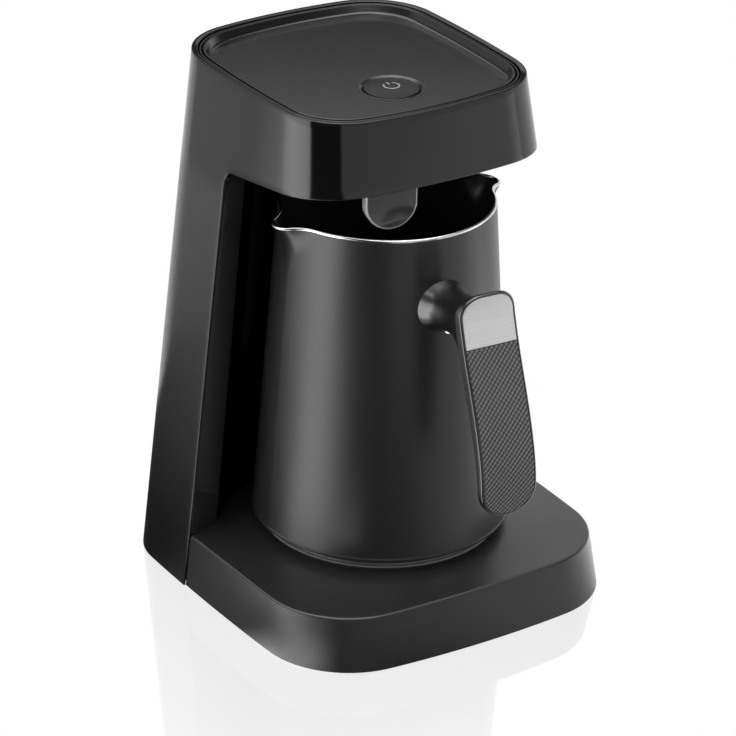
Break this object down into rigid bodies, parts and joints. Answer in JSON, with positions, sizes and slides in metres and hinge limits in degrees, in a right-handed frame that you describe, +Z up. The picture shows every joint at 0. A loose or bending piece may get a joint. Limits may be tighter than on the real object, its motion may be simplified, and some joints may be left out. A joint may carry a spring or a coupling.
{
  "type": "electric turkish coffee maker",
  "caption": "C-shaped countertop Turkish coffee maker with a heated base, an overhanging head with a power button, and a lift-off pot with two spouts and a paddle handle.",
  "frame": {"origin": "centre of the bounding box, on the floor the feet rest on", "axes": "+Z up, -Y towards the pot's handle and the front, +X to the machine's left as seen from behind the handle"},
  "size_m": [0.1646, 0.1942, 0.23],
  "materials": {
    "gloss_black": "piano gloss",
    "satin_black": "fine satin",
    "black_moulding": "matt",
    "trim_grey": "polished grey",
    "button_black": "soft gloss",
    "smoked_lens": "smoked gloss",
    "rubber_black": "matt",
    "seal_grey": "silicone",
    "pot_black": "satin enamel",
    "steel": "brushed",
    "aluminium_grey": "cast",
    "element_steel": "heat darkened",
    "zinc": "zinc plated",
    "handle_black": "satin",
    "grip_weave": "fine diagonal texture",
    "board_green": "solder mask",
    "chip_black": "matt",
    "capacitor_yellow": "matt",
    "terminal_green": "matt",
    "led_clear": "clear",
    "loom_sleeve": "braided"
  },
  "bodies": {
    "machine": {"outer_shell": "gloss_black", "tower_front": "gloss_black", "head_underside": "gloss_black", "base_cover": "satin_black", "top_tray": "satin_black", "base_plate": "black_moulding", "button_bezel": "black_moulding", "top_trim_ring": "trim_grey", "sensor_lens": "smoked_lens", "feet": "rubber_black", "cord_gland": "rubber_black", "hotplate_seal": "seal_grey", "hotplate": "steel", "heater_carrier": "steel", "heat_spreader": "aluminium_grey", "thermal_cutout": "aluminium_grey", "heating_element": "element_steel", "base_screws": "zinc", "carrier_screws": "zinc", "power_board_screws": "zinc", "underside_screws": "zinc", "board_screws": "zinc", "button_spring": "zinc", "probe_spring": "zinc", "control_board": "board_green", "power_board": "board_green", "sensor_board": "board_green", "board_chips": "chip_black", "tact_switch": "chip_black", "buzzer": "chip_black", "power_relay": "chip_black", "filter_capacitor": "capacitor_yellow", "terminal_block": "terminal_green", "status_leds": "led_clear", "wiring_loom": "loom_sleeve"},
    "pot": {"pot_shell": "pot_black", "pot_base_disc": "steel", "pot_foot_ring": "rubber_black", "handle_body": "handle_black", "handle_cap": "steel", "handle_grip": "grip_weave", "handle_stud": "steel", "handle_screw": "zinc"},
    "button": {"power_button": "button_black"},
    "probe": {"thermostat_probe": "aluminium_grey"}
  },
  "joints": [
    {"name": "pot_lift_off", "type": "slide", "parent": "machine", "child": "pot", "axis": [0, -1, 0], "range_m": [0, 0.16]},
    {"name": "power_press", "type": "slide", "parent": "machine", "child": "button", "axis": [0, 0, -1], "range_m": [0, 0.0012], "stiffness_N_per_m": 500, "deforming": ["button_spring"]},
    {"name": "probe_press", "type": "slide", "parent": "machine", "child": "probe", "axis": [0, 0, -1], "range_m": [0, 0.0015], "stiffness_N_per_m": 300, "deforming": ["probe_spring"]}
  ]
}
